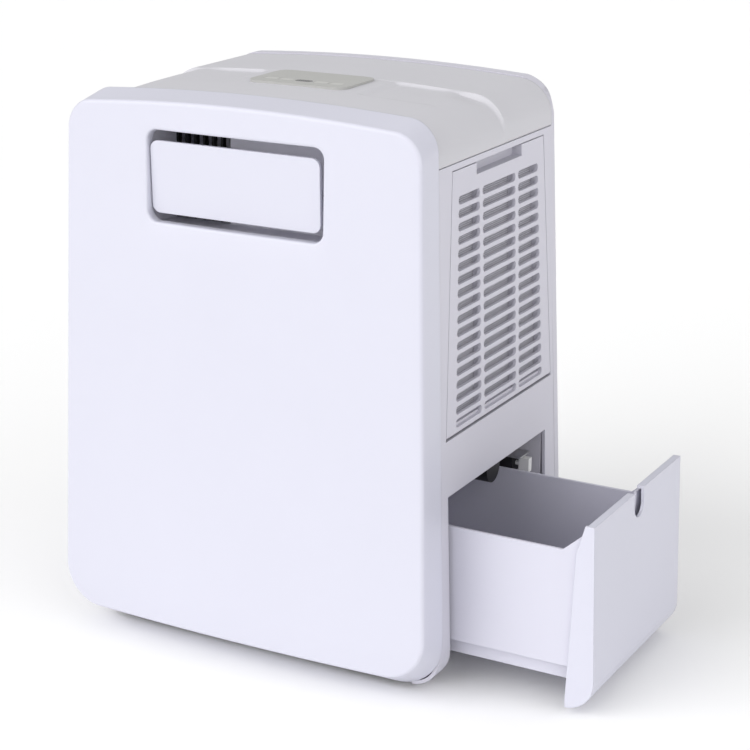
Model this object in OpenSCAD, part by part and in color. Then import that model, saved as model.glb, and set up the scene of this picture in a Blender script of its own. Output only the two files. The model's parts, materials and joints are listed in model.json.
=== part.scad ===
// Compact dehumidifier with a water tank that slides out of its right side.
// Frame: the origin is on the floor under the middle of the appliance's overall
// box, tank out. +X is the tank side, -Y is the front and +Z is up. Every size is
// in millimetres. The modules draw about the middle of the case, and placed()
// moves what they draw into the frame.

/* [Case] */
// Width of the case at the floor line
case_w = 336.6; // [270:0.1:410]
// Depth of the case at the floor line
case_d = 274; // [228:1:330]
// Height of the rear rim above the floor
case_h = 460; // [440:1:560]
// Lean of each side, in degrees
side_lean = 1.57; // [0:0.01:3]
// Lean of the front, in degrees
front_lean = 2.29; // [0:0.01:3]
// Lean of the rear, in degrees
rear_lean = 2.1; // [0:0.01:3]
// Wall thickness of the case mouldings
wall = 2.5; // [2:0.1:3]
// Height of the lower edges of the case above the floor
case_bottom = 6; // [4:1:12]
// Height of the surface that the tank runs on
base_top = 25; // [22:1:30]
// Distance of the top cover's seam below the rear rim
top_drop = 42; // [36:1:50]
// Radius of the lower side edges
bottom_r = 24; // [16:1:28]
// Radius of the rear upright corners
rear_r = 10; // [6:1:16]
// How far the rear cover wraps round onto the sides
rear_wrap = 16; // [12:1:18]
// Radius of the upper corners of the case
top_r = 26; // [18:1:28]
// How far those corners drop below the middle of the top
case_arch = 4.5; // [2:0.5:8]
// Thickness of the rim at the top of the rear cover
rear_rim = 12; // [8:1:16]

/* [Front panel] */
// Depth of the rim round the front panel at the floor line
front_rim = 32.5; // [28:0.5:36]
// How much less the rear edge of the rim leans than the face, in degrees
rim_taper = 0.88; // [0:0.01:1]
// How far the middle of the front panel bows forwards
front_bow = 7; // [0:1:9]
// How far the front panel stands proud of the case sides
front_proud = 2.6; // [2.5:0.1:5]
// Radius of the upper corners of the front face
face_top_r = 25; // [18:1:32]
// Radius of the lower corners of the front face
face_bottom_r = 34; // [24:1:40]
// Radius of the lower corners of the rim's rear edge
rim_bottom_r = 40; // [28:1:42]
// How far the corners of the front panel's top edge drop below its middle
front_arch = 6; // [2:1:9]
// Height of the lower edge of the front face
face_bottom = 23; // [16:1:28]
// How far the rear edge of the rim stands above the front edge
front_rise = 5; // [2:1:6]

/* [Air outlet] */
// Width of the air outlet
outlet_w = 158; // [120:1:180]
// Height of the air outlet
outlet_h = 72; // [60:1:80]
// Distance from the middle of the top edge down to the outlet
outlet_drop = 24; // [20:1:30]
// Gap on each side of the flap
flap_side_gap = 3; // [1:0.5:4]
// Gap above the flap
flap_above = 9.5; // [2:0.5:12]
// Gap below the flap
flap_below = 5.5; // [2:0.5:10]
// Thickness of the flap
flap_t = 3; // [2:0.1:4]
// Angle at which the flap stands open
flap_open = 3; // [0:1:40]

/* [Filter door] */
// Height of the filter door
door_h = 206; // [160:1:220]
// Distance from the seam down to the door
door_drop = 6; // [4:1:12]
// Rows of air slots
slot_rows = 18; // [8:1:20]
// Height of each slot
slot_h = 6.6; // [4:0.1:7]
// Gap round the door
door_gap = 0.8; // [0.5:0.1:1.5]

/* [Tank] */
// Height of the tank bay
bay_h = 135; // [110:1:140]
// Distance from the front of the case to the bay
bay_front = 53.5; // [46:0.5:60]
// Distance from the rear of the case to the bay
bay_rear = 40.5; // [34:0.5:50]
// Width of the compressor compartment to the left of the bay
machine_w = 106; // [102:1:120]
// How far the tank stands out of the case
tank_out = 122; // [60:1:150]
// Width of the free space behind the tank
tank_side_space = 38; // [34:1:44]
// Height of the tank's walls
tank_h = 109.5; // [90:0.5:110]
// Wall thickness of the tank
tank_wall = 2.2; // [1.8:0.1:3]
// Depth of the flange at the top of the tank's outer panel
tank_panel_t = 6; // [5:0.5:8]
// Wall thickness of the tank's outer panel
panel_wall = 2.5; // [2:0.1:3]
// Depth of the pouring notch
notch_depth = 22; // [10:1:24]

/* [Machine] */
// Radius of the compressor shell
compressor_r = 43; // [36:1:45]
// Height of the compressor shell
compressor_h = 168; // [140:1:180]
// Radius of the fan wheel
fan_r = 60; // [50:1:64]
// Width of the fan wheel
fan_w = 46; // [36:1:50]
// Number of fan blades
fan_blades = 32; // [16:1:40]
// Radius of the fan shaft
shaft_r = 3; // [2.5:0.1:4]
// Number of coil fins
fin_count = 30; // [16:1:36]
// Radius of the coil tubes
tube_r = 3.5; // [3:0.1:4]
// Runs of tube in each coil
tube_runs = 8; // [4:2:10]

/* [Controls] */
// Width of the control panel
panel_w = 89; // [70:1:100]
// Depth of the control panel
panel_d = 57; // [46:1:64]
// Width of a key
key_w = 12; // [8:1:14]
// Depth of a key
key_d = 7; // [5:0.5:9]

/* [Hidden] */
$fn = 48;
eps = 0.01;
gap = 0.5;
fit = 0.05;

seam_z = case_h - top_drop;
bay_y0 = -case_d / 2 + bay_front;
bay_y1 = case_d / 2 - bay_rear;
bay_top = base_top + bay_h;
bay_x0 = -case_w / 2 + machine_w;
deck_z = bay_top + 2.5;
deck_t = 3;
tray_z = deck_z + deck_t;

// Half of the case's width, and the places of its front and rear faces, at a height
function half_w(z) = case_w / 2 - z * tan(side_lean);
function front_y(z) = -case_d / 2 + z * tan(front_lean);
function rear_y(z) = case_d / 2 - z * tan(rear_lean);

// Rear edge of the front panel's rim at a height
function rim_y(z) = -case_d / 2 + front_rim + z * tan(front_lean - rim_taper);

// Points along an arc, from angle a0 to angle a1
function arc(cx, cy, r, a0, a1, n = 8) =
    [for (i = [0 : n]) [cx + r * cos(a0 + (a1 - a0) * i / n), cy + r * sin(a0 + (a1 - a0) * i / n)]];

// Local frames whose zero plane is the leaning outer face of a side, the front or the rear
module on_right() { translate([case_w / 2, 0, 0]) rotate([0, -side_lean, 0]) children(); }
module on_left() { mirror([1, 0, 0]) on_right() children(); }
module on_front() { translate([0, -case_d / 2, 0]) rotate([-front_lean, 0, 0]) children(); }
module on_rear() { translate([0, case_d / 2, 0]) rotate([rear_lean, 0, 0]) children(); }

// Extrudes a Y-Z outline along X, an X-Z outline along Y
module along_x(x0, x1) { translate([x0, 0, 0]) rotate([90, 0, 90]) linear_extrude(x1 - x0) children(); }
module along_y(y0, y1) { translate([0, y1, 0]) rotate([90, 0, 0]) linear_extrude(y1 - y0) children(); }

// A box between two corners
module block(a, b) { translate(a) cube(b - a); }

// A flat rectangle with round corners, centred on the origin
module round_rect(w, d, r) {
    square([w - 2 * r, d], center = true);
    square([w, d - 2 * r], center = true);
    for (x = [-1, 1], y = [-1, 1]) translate([x * (w / 2 - r), y * (d / 2 - r)]) circle(r);
}

// A round bar between two points
module rod(a, b, r) {
    v = b - a;
    translate(a)
        rotate([0, acos(v[2] / norm(v)), atan2(v[1], v[0])])
            cylinder(h = norm(v), r = r);
}

// A pipe along a list of points, with round elbows
module pipe(points, r) {
    for (i = [0 : len(points) - 2]) rod(points[i], points[i + 1], r);
    for (i = [1 : len(points) - 2]) translate(points[i]) sphere(r);
}

// ---- case ----

front_top = case_h - 4;

// Outline of the front panel at its face (rear = 0) or at the rear edge of its rim (rear = 1):
// "inset" draws it in and "squeeze" narrows it
function front_outline(rear, inset, squeeze) =
    let (top = front_top + rear * front_rise - inset,
         bottom = (rear > 0 ? case_bottom : face_bottom) + inset,
         side = front_proud - inset,
         wt = half_w(front_top) + side,
         wb = half_w(bottom) + side,
         rt = (rear > 0 ? top_r : face_top_r) - inset,
         rb = (rear > 0 ? rim_bottom_r : face_bottom_r) - inset,
         drop = rear > 0 ? case_arch : front_arch,
         crown = [for (i = [1 : 11]) let (t = 1 - i / 6) [t * (wt - rt), top - drop * t * t]],
         points = concat(arc(wb - rb, bottom + rb, rb, -90, 0),
             arc(wt - rt, top - drop - rt, rt, 0, 86),
             crown,
             arc(rt - wt, top - drop - rt, rt, 94, 180),
             arc(rb - wb, bottom + rb, rb, 180, 270)))
    [for (p = points) [p[0] * squeeze, p[1]]];

// Cross-section of a side moulding whose lower edge turns under, in a leaning side frame
function turned_under(t, z0, z1) = concat([[0, z1]],
    arc(-bottom_r, z0 + bottom_r, bottom_r, 0, -90),
    arc(-bottom_r, z0 + bottom_r, bottom_r - t, -90, 0),
    [[-t, z1]]);

// The front panel's closed form; "inset" draws it in on all sides but the back
module front_form(inset, back) {
    hull() {
        along_y(inset, inset + 1) polygon(front_outline(0, inset, 1));
        translate([0, back, 0]) rotate([rim_taper, 0, 0]) along_y(-1, 0) polygon(front_outline(1, inset, 1));
        for (s = [0.3, 0.55, 0.8])
            along_y(inset - front_bow * (1 - s * s), inset + 1) polygon(front_outline(0, inset, s));
    }
}

outlet_z1 = front_top - outlet_drop;
outlet_z0 = outlet_z1 - outlet_h;

module front_panel() {
    color("#eeeef4")
        on_front()
            difference() {
                front_form(0, front_rim);
                front_form(wall, front_rim + 1);
                translate([0, 0, (outlet_z0 + outlet_z1) / 2])
                    along_y(-20, 12) round_rect(outlet_w, outlet_h, 9);
            }
}

// Outline of the case at a height, drawn in by "inset"
module plan_slab(z, inset) {
    w = half_w(z) - inset;
    y1 = rear_y(z) - inset;
    r = rear_r - inset;
    translate([0, 0, z])
        linear_extrude(0.1)
            polygon(concat([[-w, 0], [w, 0]], arc(w - r, y1 - r, r, 0, 90), arc(r - w, y1 - r, r, 90, 180)));
}

// Outline of the rear cover seen from the front, drawn in by "inset"
module rear_outline(inset) {
    rb = bottom_r - inset;
    rt = top_r - inset;
    wb = half_w(case_bottom) - inset;
    wt = half_w(case_h) - inset;
    zb = case_bottom + inset + rb;
    zt = case_h - case_arch - inset - rt;
    polygon(concat(arc(wb - rb, zb, rb, -90, 0),
        arc(wt - rt, zt, rt, 0, 86),
        [for (i = [1 : 11]) let (t = 1 - i / 6) [t * (wt - rt), case_h - inset - case_arch * t * t]],
        arc(rt - wt, zt, rt, 94, 180),
        arc(rb - wb, zb, rb, 180, 270)));
}

gland_at = [-case_w / 2 + 60, 95];
gland_r = 8;
screw_r = 1.5;
screw_places = [for (x = [-1, 1], z = [60, seam_z / 2, seam_z - 20]) [x * (half_w(case_h) - 22), z]];

// A round cutter through the rear wall at a place given as X and Z
module bore(at, r) {
    translate([at[0], 0, at[1]]) rotate([90, 0, 0]) cylinder(h = 20, r = r, center = true);
}

module rear_cover() {
    color("#dcdce4")
        difference() {
            intersection() {
                hull() {
                    plan_slab(case_bottom, 0);
                    plan_slab(case_h, 0);
                }
                along_y(0, case_d) rear_outline(0);
                on_rear() block([-case_w, -rear_wrap, 0], [case_w, 5, case_h + 20]);
            }
            intersection() {
                hull() {
                    plan_slab(case_bottom - 1, wall);
                    plan_slab(seam_z, wall);
                }
                along_y(0, case_d) rear_outline(wall);
            }
            on_rear() block([-case_w, -rear_wrap - 1, seam_z], [case_w, -rear_rim, case_h + 20]);
            for (p = screw_places)
                on_rear() bore(p, screw_r + 0.2);
            on_rear() bore(gland_at, gland_r + 0.2);
        }
}

// Upright outline of a side panel, in its own leaning frame
module side_outline() {
    polygon([[rim_y(case_bottom) + gap, case_bottom],
        [rear_y(case_bottom) - rear_wrap - gap, case_bottom],
        [rear_y(seam_z) - rear_wrap - gap, seam_z - gap],
        [rim_y(seam_z) + gap, seam_z - gap]]);
}

// A side panel with its lower edge turned under
module side_form(t) {
    intersection() {
        along_y(-case_d, case_d) polygon(turned_under(t, case_bottom, seam_z));
        along_x(-2 * bottom_r, 1) side_outline();
    }
}

module left_side_panel() {
    color("#dcdce4") on_left() side_form(wall);
}

door_z1 = seam_z - door_drop;
door_z0 = door_z1 - door_h;
hinge_z = door_z0 + 2.5;
hinge_r = 0.9;
door_t = 3;
// Corners of the filter door: lower front, lower rear, upper rear, upper front
door_front0 = front_y(door_z0) + 44;
door_rear0 = rear_y(door_z0) - 22.4;
door_rear1 = rear_y(door_z1) - 29.4;
door_front1 = front_y(door_z1) + 52;

// Outline of the filter door, grown by "grow" on every side
module door_outline(grow) {
    polygon([[door_front0 - grow, door_z0 - grow],
        [door_rear0 + grow, door_z0 - grow],
        [door_rear1 + grow, door_z1 + grow],
        [door_front1 - grow, door_z1 + grow]]);
}

module right_side_panel() {
    color("#dcdce4")
        on_right()
            difference() {
                side_form(door_t);
                along_x(-door_t - 1, 1) door_outline(door_gap);
                block([-2 * bottom_r, bay_y0, 0], [1, bay_y1, bay_top]);
                translate([-1.5, 0, hinge_z])
                    rotate([90, 0, 0])
                        translate([0, 0, -door_rear0 - 4])
                            cylinder(h = door_rear0 - door_front0 + 8, r = hinge_r + fit);
            }
}

// Steps of the crowned top cover: height, and how far each step is drawn in along X and Y
crown_steps = [[0, 0, 0], [16, 0.5, 0], [26, 3.5, 0], [31, 8.5, 0], [35, 14.8, 0.5], [36.5, 24, 1],
    [38, 70, 1], [38.5, 30, 10], [40.5, 60, 26], [41, 90, 60]];

// One step of the crowned form, "inset" in from the outer face and open at its front and rear
module crown_slab(step, inset) {
    z = seam_z + step[0] - inset;
    w = half_w(seam_z) - step[1] - inset;
    open = inset > 0 ? 1.5 : 0;
    y0 = rim_y(z) + gap + step[2] - open;
    y1 = rear_y(z) - rear_rim - gap - step[2] + open;
    translate([0, (y0 + y1) / 2, z]) linear_extrude(0.1) square([2 * w, y1 - y0], center = true);
}

panel_z = seam_z + 40.5;
panel_t = 2;
panel_y = -8;
key_places = [[-30, -12], [-16, -12], [16, -12], [30, -12]];
display_w = 15;
display_d = 7;
display_y = -12;

module top_cover() {
    color("#c9c8cc")
        difference() {
            hull() for (s = crown_steps) crown_slab(s, 0);
            translate([0, 0, -eps]) hull() for (s = crown_steps) crown_slab(s, wall);
            block([-case_w, -case_d, seam_z - 20], [case_w, case_d, seam_z]);
            translate([0, panel_y, panel_z - 10]) linear_extrude(20) round_rect(panel_w - 4, panel_d - 4, 8);
            translate([0, panel_y, panel_z - 0.6])
                linear_extrude(20) round_rect(panel_w + 0.6, panel_d + 0.6, 10);
        }
}

module base_tray() {
    x = case_w / 2 - bottom_r - 2;
    y0 = rim_y(case_bottom) + gap;
    y1 = rear_y(case_bottom) - rear_wrap - gap;
    t = 3;
    color("#b4b4b8") {
        difference() {
            block([-x, y0, case_bottom], [x, y1, base_top]);
            block([t - x, y0 + t, case_bottom - 1], [x - t, y1 - t, base_top - t]);
        }
        block([-x, bay_y1 + 4, base_top], [x, bay_y1 + 7, base_top + 10]);
    }
}

foot_r = 12;
foot_x = case_w / 2 - 50;
foot_y = case_d / 2 - 60;

module feet() {
    color("#2a2a2c")
        for (x = [-foot_x, foot_x], y = [-foot_y, foot_y])
            translate([x, y, 0]) {
                cylinder(h = 3, r1 = foot_r - 1.5, r2 = foot_r);
                translate([0, 0, 3]) cylinder(h = base_top - 6, r = foot_r);
            }
}

// ---- tank bay, deck and air path ----

bay_x1 = half_w(bay_top) - 3.5;
spout_at = [case_w / 2 - 32, 25];
spout_r = 5;
drum_r = 12;
drum_z = bay_top - drum_r - 2;

module tank_bay_liner() {
    t = 2;
    color("#8a8a90")
        difference() {
            block([bay_x0 - t, bay_y0 - t, base_top], [bay_x1, bay_y1 + t, bay_top + 2.5]);
            block([bay_x0, bay_y0, base_top - 1], [bay_x1 + 1, bay_y1, bay_top]);
            translate([spout_at[0], spout_at[1], bay_top - 1]) cylinder(h = 6, r = spout_r + 0.3);
        }
}

module deck() {
    color("#77777c")
        difference() {
            block([bay_x0 - 2, -case_d / 2 + front_rim + 12, deck_z],
                [half_w(deck_z) - 6, case_d / 2 - 20, deck_z + deck_t]);
            translate([spout_at[0], spout_at[1], deck_z - 1]) cylinder(h = 6, r = spout_r + 0.3);
        }
}

coil_t = 22;
coil_y0 = -case_d / 2 + 66;
coil_y1 = case_d / 2 - 58;
coil_z0 = tray_z + 12;
coil_z1 = seam_z - 24;
evap_x = case_w / 2 - 48;
cond_x = evap_x - 28;

module drip_tray() {
    color("#3c3c40")
        difference() {
            block([cond_x - 3, coil_y0 - 12, tray_z], [evap_x + coil_t + 4, coil_y1 + 12, tray_z + 9]);
            block([cond_x - 1, coil_y0 - 10, tray_z + 2], [evap_x + coil_t + 2, coil_y1 + 10, tray_z + 10]);
            translate([spout_at[0], spout_at[1], tray_z - 1]) cylinder(h = 6, r = spout_r + 0.3);
        }
}

module drain_spout() {
    color("#202022")
        difference() {
            union() {
                translate([spout_at[0], spout_at[1], drum_z]) cylinder(h = tray_z + 1 - drum_z, r = spout_r);
                translate([spout_at[0] - 18, spout_at[1], drum_z])
                    rotate([0, 90, 0])
                        cylinder(h = 32, r = drum_r);
            }
            translate([spout_at[0], spout_at[1], drum_z - drum_r - 1]) cylinder(h = 60, r = spout_r - 1.5);
        }
}

tube_pitch = (coil_z1 - coil_z0) / tube_runs;
bend_r = tube_pitch / 2;
tube_over = 2;

// Height of the middle of a tube run
function run_z(i) = coil_z0 + (i + 0.5) * tube_pitch;

// A pack of upright fins across a coil, from x to x + coil_t, with holes for the tube runs
module coil_fins(x) {
    pitch = (coil_y1 - coil_y0 - 1) / (fin_count - 1);
    difference() {
        for (i = [0 : fin_count - 1])
            block([x, coil_y0 + i * pitch, coil_z0], [x + coil_t, coil_y0 + i * pitch + 1, coil_z1]);
        for (i = [0 : tube_runs - 1])
            translate([x + coil_t / 2, coil_y0 - 1, run_z(i)])
                rotate([-90, 0, 0])
                    cylinder(h = coil_y1 - coil_y0 + 2, r = tube_r + 0.1);
    }
}

// The tube of a coil: straight runs joined by bends at alternate ends, its free ends at the rear
module coil_tube(x) {
    for (i = [0 : tube_runs - 1])
        translate([x + coil_t / 2, coil_y0 - tube_over, run_z(i)])
            rotate([-90, 0, 0])
                cylinder(h = coil_y1 - coil_y0 + 2 * tube_over, r = tube_r);
    for (i = [0 : tube_runs - 2]) {
        far = i % 2 == 1;
        translate([x + coil_t / 2, far ? coil_y1 + tube_over : coil_y0 - tube_over, run_z(i) + bend_r])
            rotate([0, 90, 0])
                rotate([0, 0, far ? 0 : 180])
                    rotate_extrude(angle = 180) translate([bend_r, 0]) circle(tube_r - 0.3);
    }
}

module evaporator_fins() { color("#c8ccd0") coil_fins(evap_x); }
module evaporator_tubes() { color("#b87333") coil_tube(evap_x); }
module condenser_fins() { color("#c8ccd0") coil_fins(cond_x); }
module condenser_tubes() { color("#b87333") coil_tube(cond_x); }

scroll_r = fan_r + 18;
scroll_wall = 2;
scroll_x1 = cond_x - 6;
scroll_x0 = scroll_x1 - fan_w - 10;
duct_z0 = outlet_z0 - 6;
duct_z1 = outlet_z1 + 5;
fan_z = duct_z0 - scroll_r - 6;
fan_y = 0;
scroll_gate = scroll_r - 18;

// Side view of the space inside the scroll, grown by "grow"
module scroll_outline(grow) {
    translate([fan_y, fan_z]) circle(scroll_r + grow);
    translate([fan_y - scroll_r - grow, fan_z]) square([scroll_gate + 2 * grow, duct_z0 - fan_z - 5]);
}

module fan_scroll() {
    color("#d0d0d4")
        difference() {
            along_x(scroll_x0, scroll_x1) scroll_outline(0);
            along_x(scroll_x0 + scroll_wall, scroll_x1 - scroll_wall) scroll_outline(-scroll_wall);
            block([scroll_x0 + scroll_wall, fan_y - scroll_r + scroll_wall, duct_z0 - 8],
                [scroll_x1 - scroll_wall, fan_y - scroll_r + scroll_gate - scroll_wall, duct_z0]);
            translate([0, fan_y, fan_z]) rotate([0, 90, 0]) cylinder(h = case_w, r = fan_r - 8);
            translate([0, fan_y, fan_z]) rotate([0, -90, 0]) cylinder(h = case_w, r = shaft_r + 6);
            translate([scroll_x0 - 1, fan_y, fan_z]) rotate([0, 90, 0]) cylinder(h = 6, r = shaft_r + 6);
        }
}

motor_l = 44;
motor_r = 36;

module fan_motor() {
    color("#9a9da2")
        translate([scroll_x0, fan_y, fan_z])
            rotate([0, -90, 0])
                difference() {
                    union() {
                        cylinder(h = motor_l, r = motor_r - 4);
                        translate([0, 0, 6]) cylinder(h = motor_l - 12, r = motor_r);
                    }
                    translate([0, 0, -1]) cylinder(h = motor_l + 2, r = shaft_r + fit);
                }
}

module fan_shaft() {
    color("#c8c8cc")
        translate([scroll_x0 - motor_l + 4, fan_y, fan_z])
            rotate([0, 90, 0])
                cylinder(h = motor_l + 20, r = shaft_r);
}

wheel_x0 = scroll_x0 + 5;

module fan_wheel() {
    hub_r = shaft_r + 7;
    color("#6e7075")
        translate([wheel_x0, fan_y, fan_z])
            rotate([0, 90, 0])
                difference() {
                    union() {
                        cylinder(h = 2, r = fan_r);
                        cylinder(h = 12, r = hub_r);
                        translate([0, 0, fan_w - 2])
                            difference() {
                                cylinder(h = 2, r = fan_r);
                                translate([0, 0, -1]) cylinder(h = 4, r = fan_r - 9);
                            }
                        for (i = [0 : fan_blades - 1])
                            rotate([0, 0, i * 360 / fan_blades])
                                translate([fan_r - 9, -0.6, 1]) rotate([0, 0, 18]) cube([7, 1.2, fan_w - 2]);
                    }
                    translate([0, 0, -1]) cylinder(h = fan_w, r = shaft_r);
                }
}

duct_y0 = 3.5;
duct_wall = 2;
duct_x = outlet_w / 2 + 3;
duct_depth = 72;
fins_y = 40;
grille_w = 52;
flap_h = outlet_h - flap_above - flap_below;
flap_w = outlet_w - 2 * flap_side_gap;
pivot_z = outlet_z0 + flap_below + 0.4 * flap_h;
pivot_y = 8;
pin_r = 3;

module outlet_duct() {
    color("#a9a9b6")
        on_front()
            difference() {
                block([-duct_x - duct_wall, duct_y0, duct_z0], [duct_x + duct_wall, duct_depth, duct_z1]);
                block([-duct_x, duct_y0 - 1, duct_z0 + duct_wall],
                    [duct_x, duct_depth - duct_wall, duct_z1 - duct_wall]);
                translate([-duct_x - 5, pivot_y, pivot_z])
                    rotate([0, 90, 0])
                        cylinder(h = 2 * duct_x + 10, r = pin_r + fit);
                block([scroll_x0 + scroll_wall, fins_y + 8, duct_z0 - 1],
                    [scroll_x1 - scroll_wall, duct_depth - duct_wall, duct_z0 + 4]);
            }
    color("#a9a9b6")
        on_front()
            block([grille_w - duct_x, fins_y - duct_wall, duct_z0 + eps],
                [duct_x + eps, fins_y, duct_z1 - eps]);
}

module outlet_fins() {
    count = 7;
    pitch = (grille_w - 2) / (count - 1);
    color("#1c1c1e")
        on_front() {
            for (i = [0 : count - 1])
                block([-duct_x + i * pitch, fins_y, duct_z0 + duct_wall],
                    [-duct_x + 2 + i * pitch, fins_y + 5, duct_z1 - duct_wall]);
            for (z = [duct_z0 + duct_wall, (duct_z0 + duct_z1) / 2 - 1, duct_z1 - duct_wall - 2])
                block([-duct_x, fins_y + 1, z], [grille_w - duct_x, fins_y + 4, z + 2]);
        }
}

module outlet_flap() {
    color("#eeeef4")
        on_front()
            translate([0, pivot_y, pivot_z])
                rotate([flap_open, 0, 0])
                    difference() {
                        union() {
                            translate([0, 0, 0.1 * flap_h])
                                along_y(-pivot_y, flap_t - pivot_y) round_rect(flap_w, flap_h, 7);
                            for (s = [-1, 1])
                                translate([s * (flap_w / 2 - 5), 0, 0]) {
                                    rotate([0, 90, 0]) cylinder(h = 3, r = 5, center = true);
                                    block([-1.5, -pivot_y + flap_t - 0.5, -5], [1.5, 0, 5]);
                                }
                            for (s = [0, 180])
                                rotate([0, s, 0])
                                    translate([flap_w / 2 - 6, 0, 0])
                                        rotate([0, 90, 0])
                                            cylinder(h = duct_x + 7 - flap_w / 2, r = pin_r);
                        }
                        translate([duct_x + 1 - 4, 0, 0]) rotate([0, 90, 0]) cylinder(h = 5, r = 1.25);
                    }
}

module flap_motor() {
    color("#c8c8cc")
        on_front()
            translate([duct_x, pivot_y, pivot_z])
                rotate([0, 90, 0]) {
                    translate([0, 8, duct_wall]) cylinder(h = 16, r = 10);
                    translate([0, 0, -2]) cylinder(h = 4.5, r = 1.2);
                }
}

// ---- refrigeration ----

comp_at = [-case_w / 2 + 8 + compressor_r, 8];
comp_z = base_top + 11;
grommet_angles = [0, 120, 240];

module compressor() {
    r = compressor_r;
    h = compressor_h;
    color("#232326")
        translate([comp_at[0], comp_at[1], comp_z]) {
            rotate_extrude()
                polygon(concat([[0, 3]], arc(r - 14, 17, 14, -90, 0),
                    arc(r - 26, h - 26, 26, 0, 90), [[0, h]]));
            difference() {
                intersection() {
                    cylinder(h = 3.2, r = r + 2);
                    cylinder(h = 4, r = r * 1.9, $fn = 3);
                }
                for (a = grommet_angles) rotate([0, 0, a]) translate([r - 7, 0, -1]) cylinder(h = 6, r = 3.2);
            }
        }
}

module compressor_grommets() {
    color("#101012")
        for (a = grommet_angles)
            translate([comp_at[0], comp_at[1], base_top])
                rotate([0, 0, a])
                    translate([compressor_r - 7, 0, 0]) {
                        cylinder(h = comp_z - base_top, r = 6);
                        cylinder(h = comp_z - base_top + 2, r = 3);
                    }
}

accumulator_at = [comp_at[0] + 4, comp_at[1] + compressor_r + 18];
accumulator_r = 13;
accumulator_h = 110;
accumulator_z = comp_z + 30;

module accumulator() {
    color("#232326")
        translate([accumulator_at[0], accumulator_at[1], accumulator_z])
            rotate_extrude()
                polygon(concat([[0, 0]], arc(accumulator_r - 8, 8, 8, -90, 0),
                    arc(accumulator_r - 8, accumulator_h - 8, 8, 0, 90), [[0, accumulator_h]]));
}

pipe_r = 3;
pipe_y = coil_y1 + tube_over + bend_r + tube_r + 6;
comp_top = comp_z + compressor_h;

module discharge_pipe() {
    x = cond_x + coil_t / 2;
    top = run_z(tube_runs - 1);
    level = top + 6;
    start = [comp_at[0], comp_at[1] - 10, comp_top];
    color("#b87333")
        pipe([start, [start[0], start[1], level], [start[0], pipe_y, level],
            [x, pipe_y, level], [x, pipe_y, top], [x, coil_y1 + tube_over, top]], pipe_r);
}

module suction_pipe() {
    x = evap_x + coil_t / 2;
    top = run_z(tube_runs - 1);
    level = top - 4;
    start = [accumulator_at[0], accumulator_at[1], accumulator_z + accumulator_h];
    y = pipe_y + 9;
    color("#b87333")
        pipe([start, [start[0], start[1], level], [start[0], y, level],
            [x, y, level], [x, y, top], [x, coil_y1 + tube_over, top]], pipe_r);
}

// ---- filter door ----

slot_z0 = door_z0 + 9;
slot_pitch = (door_h - 29) / (slot_rows - 0.65);
bar_w = 5;
hinge_y0 = door_front0 + 1;
hinge_y1 = door_rear0 - 1;

// Front and rear edges of the slotted area at a height of the door
function slot_front(z) = door_front0 + 16 + (door_front1 - door_front0 - 5.5) * (z - door_z0) / door_h;
function slot_rear(z) = door_rear0 - 17 + (door_rear1 - door_rear0 + 5.5) * (z - door_z0) / door_h;

bar_y1 = slot_front(door_z0) + 0.30 * (slot_rear(door_z0) - slot_front(door_z0));
bar_y2 = slot_front(door_z0) + 0.70 * (slot_rear(door_z0) - slot_front(door_z0));
grip_y0 = door_front1 + 40;
grip_y1 = door_rear1 - 41;

// One slot with round ends
module slot(y0, y1, z) {
    r = slot_h / 2;
    translate([y0 + r, z]) circle(r);
    translate([y1 - r, z]) circle(r);
    translate([y0 + r, z - r]) square([y1 - y0 - 2 * r, slot_h]);
}

module filter_door() {
    color("#dcdce4")
        on_right()
            difference() {
                union() {
                    along_x(-3, 0)
                        difference() {
                            intersection() {
                                door_outline(0);
                                translate([-case_d, hinge_z]) square([2 * case_d, door_h]);
                            }
                            for (i = [0 : slot_rows - 1]) {
                                z = slot_z0 + i * slot_pitch;
                                slot(slot_front(z), bar_y1 - bar_w / 2, z);
                                slot(bar_y1 + bar_w / 2, bar_y2 - bar_w / 2, z);
                                slot(bar_y2 + bar_w / 2, slot_rear(z), z);
                            }
                            translate([grip_y0, door_z1 - 9]) square([grip_y1 - grip_y0, 12]);
                        }
                    block([-10, grip_y0 - 1.5, door_z1 - 10.5], [-3, grip_y1 + 1.5, door_z1 - 0.6]);
                    translate([-1.5, hinge_y0, hinge_z])
                        rotate([-90, 0, 0])
                            cylinder(h = hinge_y1 - hinge_y0, r = 1.5);
                    translate([-1.5, hinge_y0 - 3.8, hinge_z])
                        rotate([-90, 0, 0])
                            cylinder(h = hinge_y1 - hinge_y0 + 7.6, r = hinge_r);
                }
                block([-8.5, grip_y0, door_z1 - 9], [1, grip_y1, door_z1 + 1]);
            }
}

filter_z0 = door_z0 + 7;
filter_z1 = door_z1 - 14;

// Outline of the filter, "inset" in from its outer edge
module filter_outline(inset) {
    polygon([[slot_front(filter_z0) - 4 + inset, filter_z0 - 3 + inset],
        [slot_rear(filter_z0) + 4 - inset, filter_z0 - 3 + inset],
        [slot_rear(filter_z1) + 4 - inset, filter_z1 - inset],
        [slot_front(filter_z1) - 4 + inset, filter_z1 - inset]]);
}

module filter_frame() {
    color("#8e8e94")
        on_right()
            along_x(-7, -3)
                difference() {
                    filter_outline(0);
                    difference() {
                        filter_outline(4);
                        for (y = [bar_y1, bar_y2]) translate([y - 2, 0]) square([4, case_h]);
                    }
                }
}

module filter_mesh() {
    color("#77777c") on_right() along_x(-8, -7) filter_outline(0.5);
}

// ---- tank ----

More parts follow.
